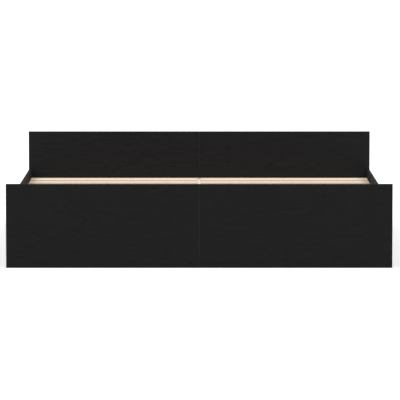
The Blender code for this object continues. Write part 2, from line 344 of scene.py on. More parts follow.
def foil_material(name, settings, along, shift, tone=1.0):
    """Decor foil on chipboard, black, pressed with an oak grain between hot plates. It is matt, its
    pores are shallow dashes along the board that catch the light, and the figure between them is
    barely darker. Real pores are 0.3 mm wide and 10 mm long: they are drawn about six times as
    coarse, to show. Corners are paler, partly rubbed and partly a painted highlight where they
    catch the light, and the edges on the floor are bare chips."""
    material, tree = new_material(name)
    place = add(tree, PLACE).outputs["Object"]
    moved = add(tree, VECTOR_MATHS, (place, shift), operation="ADD")

    pore_scale = grained(along, settings.pore_length, settings.pore_width)
    pore_place = add(tree, MAPPING, {"Vector": moved, "Scale": pore_scale})
    pores = add(
        tree,
        NOISE,
        {"Vector": pore_place, "Scale": 1.0, "Detail": 3.0, "Roughness": 0.55, "Distortion": 0.2},
    )
    dashes = add(tree, RANGE, {"Value": pores, "From Min": 0.36, "From Max": 0.47})

    lines_across = 8
    field_width = settings.figure_width * lines_across
    field_scale = grained(along, settings.figure_length, field_width)
    field_place = add(tree, MAPPING, {"Vector": moved, "Scale": field_scale})
    field = add(
        tree,
        NOISE,
        {"Vector": field_place, "Scale": 1.0, "Detail": 1.5, "Roughness": 0.4, "Distortion": 0.5},
    )
    rings = add(tree, MATHS, (field, 2 * lines_across * math.tau), operation="MULTIPLY")
    waves = add(tree, MATHS, (rings,), operation="SINE")
    lines = add(tree, RANGE, {"Value": waves, "From Min": -0.8, "From Max": 0.5})
    fade_scale = grained(along, settings.figure_length * 0.6, field_width * 0.7)
    fade_place = add(tree, MAPPING, {"Vector": moved, "Scale": fade_scale})
    patches = add(tree, NOISE, {"Vector": fade_place, "Scale": 1.0})
    fade = add(tree, RANGE, {"Value": patches, "From Min": 0.4, "From Max": 0.6, "To Min": 0.15})
    centred = add(tree, MATHS, (lines, 0.6), operation="SUBTRACT")
    figure = add(tree, MATHS, (centred, fade), operation="MULTIPLY")
    pressed = add(tree, MATHS, (dashes, 0.5, 0.25), operation="MULTIPLY_ADD")
    grain = add(tree, MATHS, (figure, 0.4, pressed), operation="MULTIPLY_ADD", use_clamp=True)
    # tone scales the foil: for the headboard and the footboard it carries painted light and painted
    # shade
    dark, light = tinted(settings.foil, 0.7 * tone), tinted(settings.foil, 1.25 * tone)
    print_colour = add(tree, MIX, {"Factor": grain, "A": dark, "B": light}, data_type="RGBA")

    normal = add(tree, "ShaderNodeNewGeometry").outputs["Normal"]
    size = add(tree, VECTOR_MATHS, (normal,), operation="ABSOLUTE")
    facing = add(tree, SPLIT_XYZ, (size,)).outputs
    flattest = add(tree, MATHS, (facing["X"], facing["Y"]), operation="MAXIMUM")
    flattest = add(tree, MATHS, (flattest, facing["Z"]), operation="MAXIMUM")
    # Bevelled corners are painted paler: partly rubbed foil, partly a painted highlight where edges
    # catch light.
    on_corner = add(tree, MATHS, (flattest, 0.9), operation="LESS_THAN")
    rubbing_and_highlight = add(tree, NOISE, {"Vector": moved, "Scale": per(45), "Detail": 3.0})
    rubbed_and_highlit_corners = add(tree, MATHS, (on_corner, rubbing_and_highlight), operation="MULTIPLY")
    edge = tinted(settings.edge)
    skin = add(tree, MIX, {"Factor": rubbed_and_highlit_corners, "A": print_colour, "B": edge}, data_type="RGBA")

    chips = add(tree, CELLS, {"Vector": moved, "Scale": 1 / settings.chip_size})
    chance = add(tree, "ShaderNodeSeparateColor", (chips.outputs["Color"],))
    dark, light = tinted(settings.chips, 0.45), tinted(settings.chips)
    bare = add(tree, MIX, {"Factor": chance, "A": dark, "B": light}, data_type="RGBA")
    tilt = add(tree, SPLIT_XYZ, (normal,)).outputs["Z"]
    down = add(tree, MATHS, (tilt, -0.7), operation="LESS_THAN")
    height = add(tree, SPLIT_XYZ, (place,)).outputs["Z"]
    low = add(tree, MATHS, (height, 3 * MM), operation="LESS_THAN")
    raw = add(tree, MATHS, (down, low), operation="MULTIPLY")
    colour = add(tree, MIX, {"Factor": raw, "A": skin, "B": bare}, data_type="RGBA")

    smudges = add(tree, NOISE, {"Vector": moved, "Scale": per(200), "Detail": 3.0})
    gloss = add(tree, MATHS, (dashes, -0.10, settings.roughness + 0.02), operation="MULTIPLY_ADD")
    rough = add(tree, MATHS, (smudges, 0.10, gloss), operation="MULTIPLY_ADD", use_clamp=True)
    bump = add(tree, BUMP, {"Strength": 0.5, "Distance": 0.6 * MM, "Height": grain})
    shader = add(
        tree,
        SHADER,
        {
            "Base Color": colour,
            "Roughness": rough,
            "IOR": 1.5,
            "Specular IOR Level": 0.12,
            "Normal": bump,
        },
    )
    add(tree, SURFACE, {"Surface": shader})
    return material


def hardboard_material(settings):
    """Hardboard, lacquered black on its smooth face. Pressed fibre leaves a soft mottle, and the
    lacquer gives a low satin shine."""
    material, tree = new_material("lacquered_hardboard")
    place = add(tree, PLACE).outputs["Object"]
    fibres = add(tree, NOISE, {"Vector": place, "Scale": per(2.4), "Detail": 4.0})
    mottle = add(tree, NOISE, {"Vector": place, "Scale": per(110), "Detail": 4.0})
    fine = add(tree, MATHS, (fibres, 0.7, 0.05), operation="MULTIPLY_ADD")
    blend = add(tree, MATHS, (mottle, 0.2, fine), operation="MULTIPLY_ADD")
    dark, light = tinted(settings.hardboard, 0.7), tinted(settings.hardboard, 1.4)
    colour = add(tree, RAMP, (blend,), stops=((0.3, dark), (0.7, light)))
    rough = add(tree, MATHS, (blend, 0.25, 0.45), operation="MULTIPLY_ADD")
    bump = add(tree, BUMP, {"Strength": 0.15, "Distance": 0.2 * MM, "Height": fibres})
    shader = add(
        tree,
        SHADER,
        {
            "Base Color": colour,
            "Roughness": rough,
            "IOR": 1.5,
            "Specular IOR Level": 0.3,
            "Normal": bump,
        },
    )
    add(tree, SURFACE, {"Surface": shader})
    return material


def slat_material(settings, top, thickness):
    """Laminated birch, peeled and sanded. The faces are pale and even with fine silky streaks along
    the slat, a few small brown flecks, and a tone of its own on each slat. The long edges show the
    plies as thin stripes, the crossed ones darker."""
    material, tree = new_material("laminated_birch")
    place = add(tree, PLACE).outputs["Object"]
    number = add(tree, "ShaderNodeAttribute", attribute_name="slat").outputs["Fac"]
    jump = add(tree, JOIN_XYZ, (add(tree, MATHS, (number, 3.7), operation="MULTIPLY"),))
    moved = add(tree, VECTOR_MATHS, (place, jump), operation="ADD")
    fine_place = add(tree, MAPPING, {"Vector": moved, "Scale": (per(250), per(1.4), per(1.4))})
    fine = add(tree, NOISE, {"Vector": fine_place, "Scale": 1.0, "Detail": 4.0})
    broad_place = add(tree, MAPPING, {"Vector": moved, "Scale": (per(450), per(21), per(100))})
    broad = add(
        tree, NOISE, {"Vector": broad_place, "Scale": 1.0, "Detail": 3.0, "Distortion": 0.8}
    )
    waves = add(tree, MATHS, (broad, 5 * math.tau), operation="MULTIPLY")
    rings = add(tree, MATHS, (waves,), operation="SINE")
    silk = add(tree, MATHS, (fine, 0.7), operation="MULTIPLY")
    grain = add(tree, MATHS, (rings, 0.13, silk), operation="MULTIPLY_ADD")
    veneer, streak = tinted(settings.veneer), tinted(settings.streak)
    face = add(tree, RAMP, (grain,), stops=((0.12, veneer), (0.75, streak)))

    fleck_place = add(tree, MAPPING, {"Vector": moved, "Scale": (per(70), per(17), per(17))})
    flecks = add(tree, CELLS, {"Vector": fleck_place, "Scale": 1.0})
    chance = add(tree, "ShaderNodeSeparateColor", (flecks.outputs["Color"],))
    spot = add(tree, MATHS, (flecks.outputs["Distance"], 0.16), operation="LESS_THAN")
    rare = add(tree, MATHS, (chance, 0.80), operation="GREATER_THAN")
    marks = add(tree, MATHS, (spot, rare), operation="MULTIPLY")
    marks = add(tree, MATHS, (marks, 0.45), operation="MULTIPLY")
    brown = tinted(settings.streak, 0.55)
    flecked = add(tree, MIX, {"Factor": marks, "A": face, "B": brown}, data_type="RGBA")

    normal = add(tree, SPLIT_XYZ, (add(tree, "ShaderNodeNewGeometry").outputs["Normal"],))
    flat = add(tree, MATHS, (normal.outputs["Z"],), operation="ABSOLUTE")
    upright = add(tree, MATHS, (flat, 0.3), operation="LESS_THAN")
    height = add(tree, SPLIT_XYZ, (place,)).outputs["Z"]
    depth = add(tree, MATHS, (top, height), operation="SUBTRACT")
    layer = add(tree, MATHS, (depth, settings.plies / thickness), operation="MULTIPLY")
    turned = add(tree, MATHS, (layer, 1.0), operation="PINGPONG")
    crossed = add(tree, MATHS, (turned, 0.5), operation="GREATER_THAN")
    share = add(tree, MATHS, (crossed, 0.55), operation="MULTIPLY")
    end_grain = tinted(settings.cross_ply)
    plies = add(tree, MIX, {"Factor": share, "A": face, "B": end_grain}, data_type="RGBA")
    wood = add(tree, MIX, {"Factor": upright, "A": flecked, "B": plies}, data_type="RGBA")

    own = add(tree, MATHS, (number, 0.377), operation="MULTIPLY")
    own = add(tree, MATHS, (own,), operation="FRACT")
    tone = add(tree, MATHS, (own, 0.07, 0.95), operation="MULTIPLY_ADD")
    toned = add(tree, VECTOR_MATHS, {0: wood, "Scale": tone}, operation="SCALE")
    rough = add(tree, MATHS, (fine, 0.2, 0.45), operation="MULTIPLY_ADD")
    bump = add(tree, BUMP, {"Strength": 0.2, "Distance": 0.2 * MM, "Height": grain})
    shader = add(
        tree,
        SHADER,
        {
            "Base Color": toned,
            "Roughness": rough,
            "IOR": 1.5,
            "Specular IOR Level": 0.35,
            "Normal": bump,
        },
    )
    add(tree, SURFACE, {"Surface": shader})
    return material


def webbing_material(settings):
    """Polypropylene webbing, woven flat. Threads cross in a herringbone that shades each tape in
    fine slanted ribs, and the selvedges are a little darker. Real threads are 1 mm apart: they are
    drawn more than twice as coarse, to show."""
    material, tree = new_material("woven_webbing")
    unwrapped = add(tree, SPLIT_XYZ, (add(tree, "ShaderNodeUVMap", uv_map="weave"),))
    across, along = unwrapped.outputs["X"], unwrapped.outputs["Y"]
    off_middle = add(tree, MATHS, (across, settings.width / 2), operation="SUBTRACT")
    slant = add(tree, MATHS, (off_middle,), operation="ABSOLUTE")
    turns = math.tau / settings.thread
    slanted = add(tree, MATHS, (along, slant), operation="ADD")
    ribs = add(tree, MATHS, (slanted, turns), operation="MULTIPLY")
    ribs = add(tree, MATHS, (ribs,), operation="SINE")
    threads = add(tree, MATHS, (across, turns), operation="MULTIPLY")
    threads = add(tree, MATHS, (threads,), operation="SINE")
    lift = add(tree, MATHS, (ribs, 0.35, 0.5), operation="MULTIPLY_ADD")
    lift = add(tree, MATHS, (threads, 0.15, lift), operation="MULTIPLY_ADD")
    selvedge = add(tree, MATHS, (slant, settings.width * 0.42), operation="GREATER_THAN")
    shade = add(tree, MATHS, (selvedge, -0.12, lift), operation="MULTIPLY_ADD")
    dark, light = tinted(settings.yarn, 0.84), tinted(settings.yarn)
    colour = add(tree, MIX, {"Factor": shade, "A": dark, "B": light}, data_type="RGBA")
    bump = add(tree, BUMP, {"Strength": 0.6, "Distance": 0.4 * MM, "Height": lift})
    shader = add(
        tree,
        SHADER,
        {"Base Color": colour, "Roughness": 0.75, "Sheen Weight": 0.08, "Normal": bump},
    )
    add(tree, SURFACE, {"Surface": shader})
    return material


def zinc_material(settings):
    """Mild steel, bright zinc plated in a barrel. It is a soft grey mirror with a fine spangle, and
    dull patches where the pieces rubbed together."""
    made = bpy.data.materials.get("zinc_plated_steel")
    if made:
        return made
    material, tree = new_material("zinc_plated_steel")
    place = add(tree, PLACE).outputs["Object"]
    spangle = add(tree, CELLS, {"Vector": place, "Scale": per(1.1)})
    rubbed = add(tree, NOISE, {"Vector": place, "Scale": per(6), "Detail": 4.0})
    dark, light = tinted(settings.zinc, 0.8), tinted(settings.zinc)
    colour = add(tree, RAMP, (rubbed,), stops=((0.35, dark), (0.65, light)))
    rough = add(tree, MATHS, (rubbed, 0.25, 0.18), operation="MULTIPLY_ADD")
    rough = add(tree, MATHS, (spangle, 0.08, rough), operation="MULTIPLY_ADD")
    shader = add(tree, SHADER, {"Base Color": colour, "Metallic": 1.0, "Roughness": rough})
    add(tree, SURFACE, {"Surface": shader})
    return material


def moulded_material(name, colour, roughness, grit):
    """Moulded plastic with a spark-eroded texture: an even matt skin, slightly cloudy, with a fine
    grit whose size is given in metres."""
    material, tree = new_material(name)
    place = add(tree, PLACE).outputs["Object"]
    texture = add(tree, NOISE, {"Vector": place, "Scale": 1 / grit, "Detail": 2.0})
    cloud = add(tree, NOISE, {"Vector": place, "Scale": per(17), "Detail": 3.0})
    dark, light = tinted(colour, 0.8), tinted(colour, 1.25)
    shade = add(tree, RAMP, (cloud,), stops=((0.3, dark), (0.7, light)))
    rough = add(tree, MATHS, (cloud, 0.18, roughness - 0.09), operation="MULTIPLY_ADD")
    bump = add(tree, BUMP, {"Strength": 0.25, "Distance": grit * 0.25, "Height": texture})
    shader = add(
        tree, SHADER, {"Base Color": shade, "Roughness": rough, "IOR": 1.49, "Normal": bump}
    )
    add(tree, SURFACE, {"Surface": shader})
    return material


# ---- meshes -------------------------------------------------------------------------------------


def new_piece(name, mesh, body=None):
    """An object at the origin. With a body, it rides on it."""
    piece = bpy.data.objects.new(name, mesh)
    bpy.context.scene.collection.objects.link(piece)
    if body:
        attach(piece, body)
    return piece


def mesh_from(form, name, *materials):
    """Turns a bmesh into a mesh with smooth faces and sharp corners."""
    mesh = bpy.data.meshes.new(name)
    form.to_mesh(mesh)
    form.free()
    mesh.shade_smooth()
    mesh.set_sharp_from_angle(angle=SMOOTH)
    for material in materials:
        mesh.materials.append(material)
    return mesh


def turn_profile(form, profile, steps, closed=False):
    """Turns (radius, height) points in millimetres round Z. An open profile has its ends on Z."""
    points = [form.verts.new((radius * MM, 0, height * MM)) for radius, height in profile]
    pairs = zip(points, points[1:] + points[:1] if closed else points[1:])
    edges = [form.edges.new(pair) for pair in pairs]
    bmesh.ops.spin(form, geom=points + edges, axis=Z, cent=(0, 0, 0), angle=math.tau, steps=steps)
    bmesh.ops.remove_doubles(form, verts=form.verts, dist=0.001 * MM)
    bmesh.ops.recalc_face_normals(form, faces=form.faces)


def prism_mesh(name, outline, low, high, rounding, segments):
    """A closed shape with an outline in X and Y, standing between two heights, edges rounded."""
    form = bmesh.new()
    face = form.faces.new([form.verts.new((x, y, low)) for x, y in outline])
    pushed = bmesh.ops.extrude_face_region(form, geom=[face])["geom"]
    raised = [part for part in pushed if isinstance(part, bmesh.types.BMVert)]
    bmesh.ops.translate(form, vec=Z * (high - low), verts=raised)
    bmesh.ops.recalc_face_normals(form, faces=form.faces)
    edges = form.edges[:]
    bmesh.ops.bevel(form, geom=edges, offset=rounding, segments=segments, affect="EDGES")
    return mesh_from(form, name)


def bridge(form, first, second):
    """Joins two rings of as many points with a band of faces."""
    for here in range(len(first)):
        after = (here + 1) % len(first)
        form.faces.new((first[here], first[after], second[after], second[here]))


def screw_head_mesh(diameter):
    """A countersunk head with a cross recess. Its top is at z = 0, and it looks along +Z."""
    radius, steps = diameter / 2, 24
    section = ((0.45 * radius, -0.62 * radius), (radius, -0.12 * MM), (0.96 * radius, 0))
    form = bmesh.new()
    rings = []
    for reach, height in section:
        angles = [math.tau * step / steps for step in range(steps)]
        points = [(reach * math.cos(angle), reach * math.sin(angle), height) for angle in angles]
        rings.append([form.verts.new(point) for point in points])
    for lower, upper in zip(rings, rings[1:]):
        bridge(form, lower, upper)
    form.faces.new(list(reversed(rings[0])))

    arm, half = radius * 0.58, radius * 0.13
    outline = []
    for quarter in range(4):
        turn = Matrix.Rotation(quarter * math.pi / 2, 3, "Z")
        corners = ((arm, -half, 0), (arm, half, 0), (half, half, 0))
        outline += [turn @ Vector(point) for point in corners]
    lip = [form.verts.new(point) for point in outline]
    floor = [form.verts.new((p.x * 0.55, p.y * 0.55, -radius * 0.45)) for p in outline]
    rim = [form.edges.get(pair) for pair in zip(rings[2], rings[2][1:] + rings[2][:1])]
    cross = [form.edges.new(pair) for pair in zip(lip, lip[1:] + lip[:1])]
    bmesh.ops.triangle_fill(form, edges=rim + cross, use_beauty=True)
    bridge(form, lip, floor)
    form.faces.new(floor)
    bmesh.ops.recalc_face_normals(form, faces=form.faces)
    return mesh_from(form, "screw_head")


def staple_mesh(crown):
    """A driven staple: a flat wire crown, bent down at its ends. It looks along +Z, across X."""
    half, wire, high, leg = crown / 2, 0.5 * MM, 0.2 * MM, -1.5 * MM
    path = [(-half, leg), (-half, high * 0.4), (-half + wire, high)]
    path += [(-across, up) for across, up in reversed(path)]
    form = bmesh.new()
    rings = []
    for place, (across, up) in enumerate(path):
        on_crown = 1 < place < 4
        out = Z if on_crown else Vector((math.copysign(1, across), 0, 0.2)).normalized()
        section = ((-wire, 0), (wire, 0), (wire, -wire * 0.9), (-wire, -wire * 0.9))
        points = [Vector((across, side, up)) + out * depth for side, depth in section]
        rings.append([form.verts.new(point) for point in points])
    for first, second in zip(rings, rings[1:]):
        bridge(form, first, second)
    form.faces.new(rings[0])
    form.faces.new(list(reversed(rings[-1])))
    bmesh.ops.recalc_face_normals(form, faces=form.faces)
    return mesh_from(form, "staple")


# ---- Geometry Nodes -----------------------------------------------------------------------------


def new_tree(name, inputs):
    """An empty Geometry Nodes tree with named inputs, and the sockets that give them."""
    tree = bpy.data.node_groups.new(name, "GeometryNodeTree")
    tree.is_modifier = True
    tree.interface.new_socket("Geometry", in_out="OUTPUT", socket_type="NodeSocketGeometry")
    tree.interface.new_socket("Geometry", in_out="INPUT", socket_type="NodeSocketGeometry")
    for label, kind in inputs.items():
        tree.interface.new_socket(label, in_out="INPUT", socket_type=f"NodeSocket{kind}")
    return tree, add(tree, "NodeGroupInput").outputs


def end_tree(tree, geometry, finish):
    """Ends a tree in plain geometry with a material."""
    real = add(tree, "GeometryNodeRealizeInstances", {"Geometry": geometry})
    dressed = add(tree, "GeometryNodeSetMaterial", {"Geometry": real, "Material": finish})
    add(tree, "NodeGroupOutput", {"Geometry": dressed})


def grow(name, base, tree, values, smooth=SMOOTH):
    """Runs a tree on a mesh, and keeps its result as a plain mesh in an object at the origin."""
    piece = new_piece(name, base)
    modifier = piece.modifiers.new(name, "NODES")
    modifier.node_group = tree
    for item in tree.interface.items_tree:
        if item.in_out == "INPUT" and item.name in values:
            modifier[item.identifier] = values[item.name]
    graph = bpy.context.evaluated_depsgraph_get()
    plain = bpy.data.meshes.new_from_object(piece.evaluated_get(graph), depsgraph=graph)
    piece.modifiers.clear()
    piece.data = plain
    plain.name = name
    if not plain.polygons:
        raise RuntimeError(f"{name}: its tree made nothing")
    plain.shade_smooth()
    plain.set_sharp_from_angle(angle=smooth)
    return piece


def sites_mesh(name, sites):
    """A point for each (place, facing, across): where a fitting goes, the way it looks, and the way
    that its X axis runs."""
    mesh = bpy.data.meshes.new(name)
    mesh.from_pydata([site[0] for site in sites], [], [])
    for label, part in (("facing", 1), ("across", 2)):
        layer = mesh.attributes.new(label, "FLOAT_VECTOR", "POINT")
        for number, site in enumerate(sites):
            layer.data[number].vector = site[part]
    return mesh


def fitting_tree():
    """Sets a fitting on each point, turned to the point's directions and then spun at random."""
    labels = {"Fitting": "Object", "Spin": "Float", "Seed": "Int", "Finish": "Material"}
    tree, given = new_tree("set_fittings", labels)
    named, aligned = "GeometryNodeInputNamedAttribute", "FunctionNodeAlignRotationToVector"
    facing = add(tree, named, {"Name": "facing"}, data_type="FLOAT_VECTOR")
    across = add(tree, named, {"Name": "across"}, data_type="FLOAT_VECTOR")
    stand = add(tree, aligned, {"Vector": facing}, axis="Z")
    turn = add(tree, aligned, {"Rotation": stand, "Vector": across}, axis="X", pivot_axis="Z")
    least = add(tree, MATHS, (given["Spin"], -1.0), operation="MULTIPLY")
    chance = add(
        tree,
        "FunctionNodeRandomValue",
        {"Min": least, "Max": given["Spin"], "Seed": given["Seed"]},
        data_type="FLOAT",
    )
    spin = add(tree, "FunctionNodeEulerToRotation", (add(tree, JOIN_XYZ, {"Z": chance}),))
    spun = add(
        tree,
        "FunctionNodeRotateRotation",
        {"Rotation": turn, "Rotate By": spin},
        rotation_space="LOCAL",
    )
    shape = add(tree, "GeometryNodeObjectInfo", {"Object": given["Fitting"]})
    placed = add(
        tree,
        "GeometryNodeInstanceOnPoints",
        {"Points": given["Geometry"], "Instance": shape.outputs["Geometry"], "Rotation": spun},
    )
    end_tree(tree, placed, given["Finish"])
    return tree


def set_fittings(name, body, template, sites, finish, spin=0.0, seed=0):
    """Sets a small mesh on each site, as one piece that rides on a body."""
    tree = bpy.data.node_groups.get("set_fittings") or fitting_tree()
    pattern = new_piece(f"{name}_pattern", template)
    values = {"Fitting": pattern, "Spin": spin, "Seed": seed, "Finish": finish}
    piece = grow(name, sites_mesh(name, sites), tree, values)
    bpy.data.objects.remove(pattern)
    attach(piece, body)


def drive_screws(name, body, sites, seed):
    """Drives a screw at each site."""
    settings = bpy.context.scene.bed_fittings
    template = bpy.data.meshes.get("screw_head") or screw_head_mesh(settings.screw_head)
    zinc = zinc_material(settings)
    set_fittings(name, body, template, sites, zinc, spin=math.pi, seed=seed)


def slat_tree():
    """Slats in a row along Y, the first and the last one wider, each a rounded bar along X."""
    lengths = ("Width", "End width", "Gap", "Length", "Thickness", "Edge radius")
    labels = {"Count": "Int", **dict.fromkeys(lengths, "Float"), "Start": "Vector"}
    tree, given = new_tree("lay_slats", {**labels, "Finish": "Material"})
    half = add(tree, MATHS, (given["Length"], 0.5), operation="MULTIPLY")
    left = add(tree, JOIN_XYZ, {"X": add(tree, MATHS, (half, -1.0), operation="MULTIPLY")})
    right = add(tree, JOIN_XYZ, {"X": half})
    line = add(tree, "GeometryNodeCurvePrimitiveLine", {"Start": left, "End": right})
    bars = []
    for width in (given["Width"], given["End width"]):
        outline = add(
            tree,
            "GeometryNodeCurvePrimitiveQuadrilateral",
            {"Width": width, "Height": given["Thickness"]},
        )
        rounded = add(
            tree,
            "GeometryNodeFilletCurve",
            {"Curve": outline, "Radius": given["Edge radius"], "Count": 3},
            mode="POLY",
        )
        swept = {"Curve": line, "Profile Curve": rounded, "Fill Caps": True}
        bars.append(add(tree, "GeometryNodeCurveToMesh", swept))
    kinds = add(tree, "GeometryNodeGeometryToInstance")
    for bar in reversed(bars):
        tree.links.new(bar.outputs[0], kinds.inputs[0])

    index = add(tree, "GeometryNodeInputIndex")
    last = add(tree, MATHS, (given["Count"], 1.5), operation="SUBTRACT")
    is_last = add(tree, MATHS, (index, last), operation="GREATER_THAN")
    past_first = add(tree, MATHS, (index, 0.5), operation="GREATER_THAN")
    wider = add(tree, MATHS, (given["End width"], given["Width"]), operation="SUBTRACT")
    extra = add(tree, MATHS, (wider, 0.5), operation="MULTIPLY")
    pitch = add(tree, MATHS, (given["Width"], given["Gap"]), operation="ADD")
    shifts = add(tree, MATHS, (past_first, is_last), operation="ADD")
    first = add(tree, MATHS, (given["End width"], 0.5), operation="MULTIPLY")
    along = add(tree, MATHS, (index, pitch, first), operation="MULTIPLY_ADD")
    along = add(tree, MATHS, (shifts, extra, along), operation="MULTIPLY_ADD")
    row = add(tree, JOIN_XYZ, {"Y": along})
    place = add(tree, VECTOR_MATHS, (given["Start"], row), operation="ADD")
    points = add(tree, "GeometryNodePoints", {"Count": given["Count"], "Position": place})
    numbered = add(
        tree,
        "GeometryNodeStoreNamedAttribute",
        {"Geometry": points, "Name": "slat", "Value": index},
        data_type="FLOAT",
        domain="POINT",
    )
    is_first = add(tree, MATHS, (1.0, past_first), operation="SUBTRACT")
    is_end = add(tree, MATHS, (is_first, is_last), operation="ADD", use_clamp=True)
    laid = add(
        tree,
        "GeometryNodeInstanceOnPoints",
        {"Points": numbered, "Instance": kinds, "Pick Instance": True, "Instance Index": is_end},
    )
    end_tree(tree, laid, given["Finish"])
    return tree


# ---- operators ----------------------------------------------------------------------------------


def dress(node, material):
    """Gives a CAD node a material."""
    piece = frame["nodes"][node]
    if not piece.material_slots:
        raise RuntimeError(f"{node} has no material slot")
    for place in piece.material_slots:
        place.material = material


class BED_OT_dress_boards(bpy.types.Operator):
    """Gives the boards of the bed and of the drawers their black foil"""

    bl_idname = "bed.dress_boards"
    bl_label = "Dress boards"

    def execute(self, context):
        settings = context.scene.bed_boards
        for number, (node, along, tone) in enumerate(FOIL_BOARDS):
            shift = (1.3 * number, 0.7 * number, 2.1 * number)
            dress(node, foil_material(f"black_foil_{node}", settings, along, shift, tone))
        front = foil_material("black_foil_drawer_front", settings, ALONG_Y, (2.4, 1.1, 3.3))
        side = foil_material("black_foil_drawer_box", settings, ALONG_X, (5.1, 2.8, 0.2))
        back = foil_material("black_foil_drawer_back", settings, ALONG_Y, (7.7, 0.3, 1.4))
        finishes = {"front": front, "side_a": side, "side_b": side, "back": back}
        finishes["bottom"] = hardboard_material(settings)
        for drawer in DRAWERS:
            for board, finish in finishes.items():
                dress(f"{drawer}_{board}", finish)
        return {"FINISHED"}


class BED_OT_lay_slats(bpy.types.Operator):
    """Lays the rounded, laminated slats on their ledges"""

    bl_idname = "bed.lay_slats"
    bl_label = "Lay slats"

    def execute(self, context):
        settings = context.scene.bed_slats
        first_low, first_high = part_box(SLATS[0])
        low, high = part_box(SLATS[1])
        thickness = high.z - low.z
        values = {
            "Count": len(SLATS),
            "Width": high.y - low.y,
            "End width": first_high.y - first_low.y,
            "Gap": low.y - first_high.y,
            "Length": high.x - low.x,
            "Thickness": thickness,
            "Edge radius": settings.edge_radius,
            "Start": (0.0, first_low.y, high.z - thickness / 2),
            "Finish": slat_material(settings, high.z, thickness),
        }
        base = bpy.data.meshes.new("slats")
        slats = grow("slats", base, slat_tree(), values, smooth=math.radians(50))
        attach(slats, FRAME_BODY)
        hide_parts(*SLATS)
        return {"FINISHED"}


def tape_runs(settings):
    """The three tapes as (name, place along X, way it faces): one over the slats along the middle,
    and two under them, beside the ledges."""
    left = corner("slat_ledge_left", 1).x + settings.ledge_room
    right = corner("slat_ledge_right", -1).x - settings.ledge_room
    return (("left", left, -1), ("middle", 0.0, 1), ("right", right, -1))


def tape_rest(way, settings):
    """Height of a tape's lower side where it lies on the slats (1) or runs under them (-1)."""
    air = 0.05 * MM
    if way > 0:
        return corner(SLATS[0], 1).z + air
    return corner(SLATS[0], -1).z - air - settings.thickness


def tape_drift(along, place):
    """How far a tape wanders sideways, in slow waves that differ from tape to tape."""
    return 0.8 * MM * math.sin(along * 5.0 + place * 9.0)


def tape_path(way, settings):
    """A tape's (along, up) points: flat on the slats, and dipping a little between them. Under the
    slats, it rises over the partition."""
    hem, contact, rise, steps = 22 * MM, 3 * MM, 2.2 * MM, 8
    rest = tape_rest(way, settings)
    spans = [(corner(node, -1).y, corner(node, 1).y) for node in SLATS]
    path = [(spans[0][0] + hem, rest)]
    for (_, here), (after, _) in zip(spans, spans[1:]):
        over_partition = way < 0 and here < 0 < after
        dip = -rise if over_partition else settings.sag
        path.append((here - contact, rest))
        for share in (step / steps for step in range(steps + 1)):
            path.append((here + (after - here) * share, rest - dip * 4 * share * (1 - share)))
        path.append((after + contact, rest))
    path.append((spans[-1][1] - hem, rest))
    return path


def tape_mesh(name, centre_x, way, settings, material):
    """A ribbon along the slats with its weave unwrapped in metres, and its length."""
    path = tape_path(way, settings)
    columns = 4
    form = bmesh.new()
    layer = form.loops.layers.uv.new("weave")
    steps = [0.0] + [math.dist(*pair) for pair in zip(path, path[1:])]
    run = [sum(steps[: number + 1]) for number in range(len(steps))]
    reaches = [(column / columns - 0.5) * settings.width for column in range(columns + 1)]
    rows = []
    for along, up in path:
        line = centre_x + tape_drift(along, centre_x)
        rows.append([form.verts.new((line + reach, along, up)) for reach in reaches])
    for row, (first, second) in enumerate(zip(rows, rows[1:])):
        for column in range(columns):
            corners = (first[column], first[column + 1], second[column + 1], second[column])
            places = ((column, row), (column + 1, row), (column + 1, row + 1), (column, row + 1))
            for loop, (across, along) in zip(form.faces.new(corners).loops, places):
                loop[layer].uv = (across / columns * settings.width, run[along])
    return mesh_from(form, name, material), run[-1]


class BED_OT_lay_tapes(bpy.types.Operator):
    """Lays the woven tapes over and under the slats"""

    bl_idname = "bed.lay_tapes"
    bl_label = "Lay tapes"

    def execute(self, context):
        settings = context.scene.bed_tapes
        material = webbing_material(settings)
        for name, place, way in tape_runs(settings):
            mesh, length = tape_mesh(f"slat_tape_{name}", place, way, settings, material)
            tape = new_piece(f"slat_tape_{name}", mesh, FRAME_BODY)
            solid = tape.modifiers.new("thickness", "SOLIDIFY")
            solid.thickness = settings.thickness
            solid.offset = 1.0
        return {"FINISHED"}


class BED_OT_drive_staples(bpy.types.Operator):
    """Staples the tapes to every slat"""

    bl_idname = "bed.drive_staples"
    bl_label = "Drive staples"

    def execute(self, context):
        settings = context.scene.bed_tapes
        sites = []
        for node in SLATS:
            for _, place, way in tape_runs(settings):
                outer = tape_rest(way, settings) + (settings.thickness if way > 0 else 0)
                for side in (-1, 1):
                    along = middle(node).y + side * settings.staple_place
                    sites.append(((place + tape_drift(along, place), along, outer), Z * way, X))
        zinc = zinc_material(context.scene.bed_fittings)
        staple, spin = staple_mesh(settings.crown), math.radians(7)
        set_fittings("tape_staples", FRAME_BODY, staple, sites, zinc, spin=spin, seed=4)
        return {"FINISHED"}


class BED_OT_drive_frame_screws(bpy.types.Operator):
    """Drives the screws of the end slats and the ledges"""

    bl_idname = "bed.drive_frame_screws"
    bl_label = "Drive frame screws"

    def execute(self, context):
        sites = []
        for node in (SLATS[0], SLATS[-1]):
            low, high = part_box(node)
            in_x, in_y = SLAT_SCREWS
            for x in (low.x + in_x, high.x - in_x, low.x / 2, high.x / 2):
                sites += [((x, y, high.z + PROUD), Z, X) for y in (low.y + in_y, high.y - in_y)]
        for node, way in (("slat_ledge_left", 1), ("slat_ledge_right", -1)):
            face = corner(node, way).x + way * PROUD
            first = corner(node, -1).y + LEDGE_INSET
            pitch = (corner(node, 1).y - LEDGE_INSET - first) / (LEDGE_SCREWS - 1)
            for number in range(LEDGE_SCREWS):
                sites.append(((face, first + pitch * number, middle(node).z), X * way, Y))
        drive_screws("frame_screws", FRAME_BODY, sites, seed=11)
        return {"FINISHED"}


